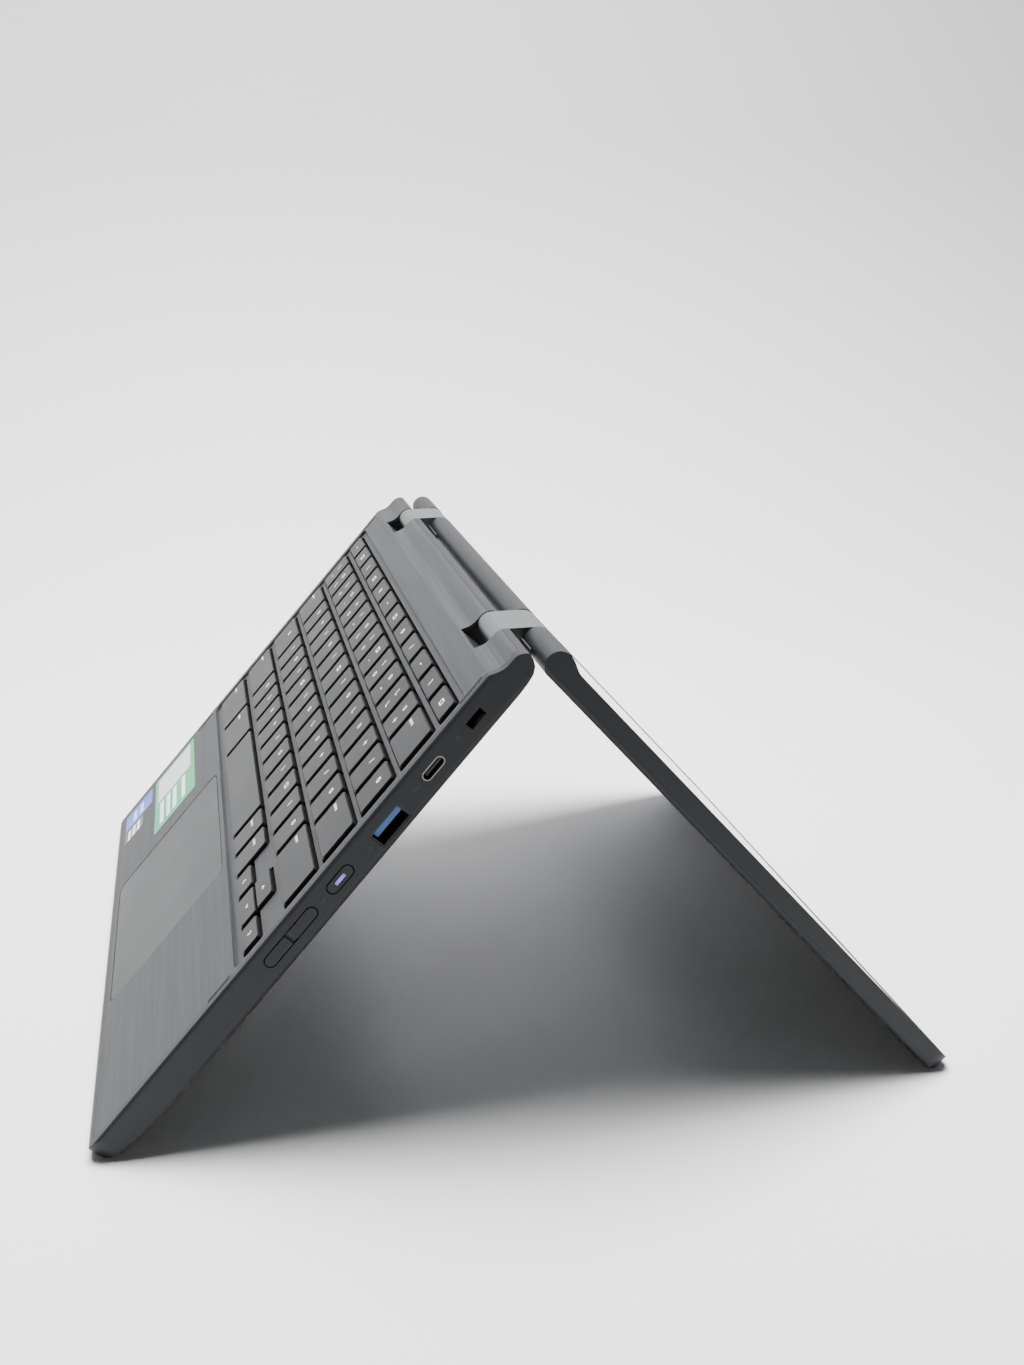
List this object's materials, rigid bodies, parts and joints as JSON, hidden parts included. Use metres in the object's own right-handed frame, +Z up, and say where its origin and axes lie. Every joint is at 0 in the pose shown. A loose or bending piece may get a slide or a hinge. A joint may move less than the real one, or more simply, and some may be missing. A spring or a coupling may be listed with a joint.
{
  "type": "convertible laptop computer",
  "caption": "Thin convertible laptop standing in tent pose, with keyboard base, glass-faced display lid and a pair of double-axis hinge links.",
  "frame": {"origin": "centre of the footprint on the floor, under the fold line", "axes": "+Z up; the fold line runs along Y; the keyboard base leans to -X and the display lid to +X; the side with the power button faces -Y"},
  "size_m": [0.2878, 0.2861, 0.1568],
  "materials": {
    "case": "dark blue-grey anodised, fine satin",
    "deck": "grey brushed across the width",
    "link": "light grey satin",
    "key_plastic": null,
    "pad": "smooth grey, low gloss",
    "black_rubber": "soft black",
    "black_plastic": "black",
    "steel": "bright sheet",
    "board": "green laminate",
    "chip": "moulded black",
    "cell": "wrapped pouch cells",
    "port_blue": "blue insert",
    "light": "violet-blue light bar",
    "screen_glass": "cover glass over a dark screen",
    "screen_panel": "dark panel",
    "label_teal": "laminated green to teal label, no words",
    "label_blue": "laminated blue label, no words",
    "label_pale": "laminated pale grey label, no words"
  },
  "bodies": {
    "base": {"side_frame": "case", "bottom_cover": "case", "deck_plate": "deck", "deck_bumpers": "black_rubber", "bottom_screws": "steel", "rubber_feet": "black_rubber", "keyboard_backplate": "black_plastic", "key_domes": "black_rubber", "main_board": "board", "board_chips": "chip", "heat_spreader": "steel", "wifi_card": "board", "battery_pack": "cell", "speakers": "black_plastic", "left_io_board": "board", "touchpad_bracket": "steel", "usb_a_shells": "steel", "usb_a_tongues": "port_blue", "usb_c_shells": "steel", "usb_c_tongues": "black_plastic", "audio_jack": "black_plastic", "lock_slot_plate": "steel", "button_switches": "board", "label_large": "label_teal", "label_square": "label_blue", "label_small": "label_pale", "base_shafts": "steel", "base_brackets": "steel"},
    "hinge_links": {"hinge_covers": "link", "cable_sleeves": "black_rubber"},
    "lid": {"lid_shafts": "steel", "lid_brackets": "steel", "lid_frame": "case", "lid_back_cover": "case", "display_glass": "screen_glass", "display_panel": "screen_panel", "display_board": "board", "webcam_module": "black_plastic"},
    "touchpad_pad": {"touchpad": "pad"},
    "power_key": {"power_button": "case", "power_light": "light"},
    "volume_key": {"volume_rocker": "case"},
    "body_keys_function": {"keys_function": "key_plastic"},
    "body_key_lock": {"key_lock": "key_plastic"},
    "body_keys_number": {"keys_number": "key_plastic"},
    "body_key_backspace": {"key_backspace": "key_plastic"},
    "body_key_tab": {"key_tab": "key_plastic"},
    "body_keys_upper": {"keys_upper": "key_plastic"},
    "body_key_search": {"key_search": "key_plastic"},
    "body_keys_home": {"keys_home": "key_plastic"},
    "body_key_enter": {"key_enter": "key_plastic"},
    "body_key_shift_left": {"key_shift_left": "key_plastic"},
    "body_keys_lower": {"keys_lower": "key_plastic"},
    "body_key_shift_right": {"key_shift_right": "key_plastic"},
    "body_keys_modifier": {"keys_modifier": "key_plastic"},
    "body_key_space": {"key_space": "key_plastic"},
    "body_key_arrow_left": {"key_arrow_left": "key_plastic"},
    "body_key_arrow_up": {"key_arrow_up": "key_plastic"},
    "body_key_arrow_down": {"key_arrow_down": "key_plastic"},
    "body_key_arrow_right": {"key_arrow_right": "key_plastic"}
  },
  "joints": [
    {"name": "base_hinge", "type": "hinge", "parent": "base", "child": "hinge_links", "pos_m": [-0.00611, 0, 0.15201], "axis": [0, 1, 0], "range_deg": [-138.33, 41.66]},
    {"name": "lid_hinge", "type": "hinge", "parent": "hinge_links", "child": "lid", "pos_m": [0.00449, 0, 0.15213], "axis": [0, 1, 0], "range_deg": [-138.33, 41.66]},
    {"name": "touchpad_press", "type": "hinge", "parent": "base", "child": "touchpad_pad", "pos_m": [-0.09841, 0, 0.05482], "axis": [0, -1, 0], "range_deg": [0, 0.3], "stiffness_Nm_per_rad": 18, "springref_deg": -0.17},
    {"name": "power_press", "type": "slide", "parent": "base", "child": "power_key", "axis": [0, 1, 0], "range_m": [0, 0.00035], "stiffness_N_per_m": 1500, "springref_m": -0.0003},
    {"name": "volume_rock", "type": "hinge", "parent": "base", "child": "volume_key", "pos_m": [-0.07891, -0.1408, 0.071], "axis": [-0.7547, 0, 0.6561], "range_deg": [-1.2, 1.2], "stiffness_Nm_per_rad": 2},
    {"name": "keys_function_press", "type": "slide", "parent": "base", "child": "body_keys_function", "axis": [0.7547, 0, -0.6561], "range_m": [0, 0.0014], "stiffness_N_per_m": 400, "springref_m": -0.0008},
    {"name": "key_lock_press", "type": "slide", "parent": "base", "child": "body_key_lock", "axis": [0.7547, 0, -0.6561], "range_m": [0, 0.0014], "stiffness_N_per_m": 400, "springref_m": -0.0008},
    {"name": "keys_number_press", "type": "slide", "parent": "base", "child": "body_keys_number", "axis": [0.7547, 0, -0.6561], "range_m": [0, 0.0014], "stiffness_N_per_m": 400, "springref_m": -0.0008},
    {"name": "key_backspace_press", "type": "slide", "parent": "base", "child": "body_key_backspace", "axis": [0.7547, 0, -0.6561], "range_m": [0, 0.0014], "stiffness_N_per_m": 400, "springref_m": -0.0008},
    {"name": "key_tab_press", "type": "slide", "parent": "base", "child": "body_key_tab", "axis": [0.7547, 0, -0.6561], "range_m": [0, 0.0014], "stiffness_N_per_m": 400, "springref_m": -0.0008},
    {"name": "keys_upper_press", "type": "slide", "parent": "base", "child": "body_keys_upper", "axis": [0.7547, 0, -0.6561], "range_m": [0, 0.0014], "stiffness_N_per_m": 400, "springref_m": -0.0008},
    {"name": "key_search_press", "type": "slide", "parent": "base", "child": "body_key_search", "axis": [0.7547, 0, -0.6561], "range_m": [0, 0.0014], "stiffness_N_per_m": 400, "springref_m": -0.0008},
    {"name": "keys_home_press", "type": "slide", "parent": "base", "child": "body_keys_home", "axis": [0.7547, 0, -0.6561], "range_m": [0, 0.0014], "stiffness_N_per_m": 400, "springref_m": -0.0008},
    {"name": "key_enter_press", "type": "slide", "parent": "base", "child": "body_key_enter", "axis": [0.7547, 0, -0.6561], "range_m": [0, 0.0014], "stiffness_N_per_m": 400, "springref_m": -0.0008},
    {"name": "key_shift_left_press", "type": "slide", "parent": "base", "child": "body_key_shift_left", "axis": [0.7547, 0, -0.6561], "range_m": [0, 0.0014], "stiffness_N_per_m": 400, "springref_m": -0.0008},
    {"name": "keys_lower_press", "type": "slide", "parent": "base", "child": "body_keys_lower", "axis": [0.7547, 0, -0.6561], "range_m": [0, 0.0014], "stiffness_N_per_m": 400, "springref_m": -0.0008},
    {"name": "key_shift_right_press", "type": "slide", "parent": "base", "child": "body_key_shift_right", "axis": [0.7547, 0, -0.6561], "range_m": [0, 0.0014], "stiffness_N_per_m": 400, "springref_m": -0.0008},
    {"name": "keys_modifier_press", "type": "slide", "parent": "base", "child": "body_keys_modifier", "axis": [0.7547, 0, -0.6561], "range_m": [0, 0.0014], "stiffness_N_per_m": 400, "springref_m": -0.0008},
    {"name": "key_space_press", "type": "slide", "parent": "base", "child": "body_key_space", "axis": [0.7547, 0, -0.6561], "range_m": [0, 0.0014], "stiffness_N_per_m": 400, "springref_m": -0.0008},
    {"name": "key_arrow_left_press", "type": "slide", "parent": "base", "child": "body_key_arrow_left", "axis": [0.7547, 0, -0.6561], "range_m": [0, 0.0014], "stiffness_N_per_m": 400, "springref_m": -0.0008},
    {"name": "key_arrow_up_press", "type": "slide", "parent": "base", "child": "body_key_arrow_up", "axis": [0.7547, 0, -0.6561], "range_m": [0, 0.0014], "stiffness_N_per_m": 400, "springref_m": -0.0008},
    {"name": "key_arrow_down_press", "type": "slide", "parent": "base", "child": "body_key_arrow_down", "axis": [0.7547, 0, -0.6561], "range_m": [0, 0.0014], "stiffness_N_per_m": 400, "springref_m": -0.0008},
    {"name": "key_arrow_right_press", "type": "slide", "parent": "base", "child": "body_key_arrow_right", "axis": [0.7547, 0, -0.6561], "range_m": [0, 0.0014], "stiffness_N_per_m": 400, "springref_m": -0.0008}
  ],
  "couplings": [
    {"joint": "lid_hinge", "follows": "base_hinge", "ratio": 1}
  ]
}
